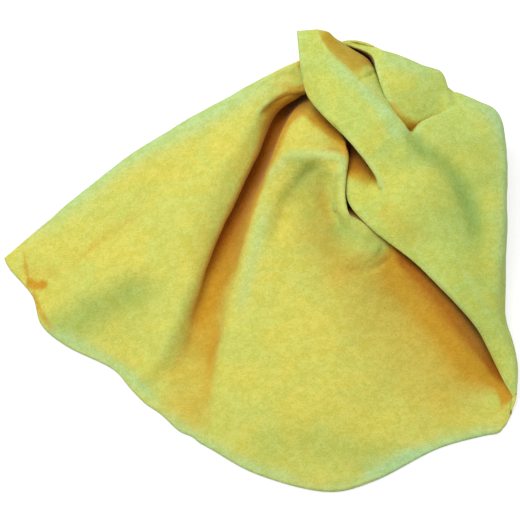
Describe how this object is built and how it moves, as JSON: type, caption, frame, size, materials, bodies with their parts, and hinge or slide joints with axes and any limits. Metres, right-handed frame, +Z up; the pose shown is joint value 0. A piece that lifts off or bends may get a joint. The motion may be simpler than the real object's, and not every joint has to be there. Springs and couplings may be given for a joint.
{
  "type": "chamois leather",
  "caption": "Soft oil-tanned chamois leather for wiping and drying, one undyed yellow skin laid down gathered, with a deep valley, a turned-over lapel and a raised peak.",
  "frame": {"origin": "on the table, under the middle of the heap's bounding box", "axes": "+X to the right of the picture, towards the lapel; +Y away from the viewer, towards the pinched-up end; +Z up"},
  "size_m": [0.4088, 0.4254, 0.0847],
  "materials": {
    "chamois": "matte suede nap"
  },
  "bodies": {
    "root": {"chamois_skin": "chamois"}
  },
  "joints": []
}
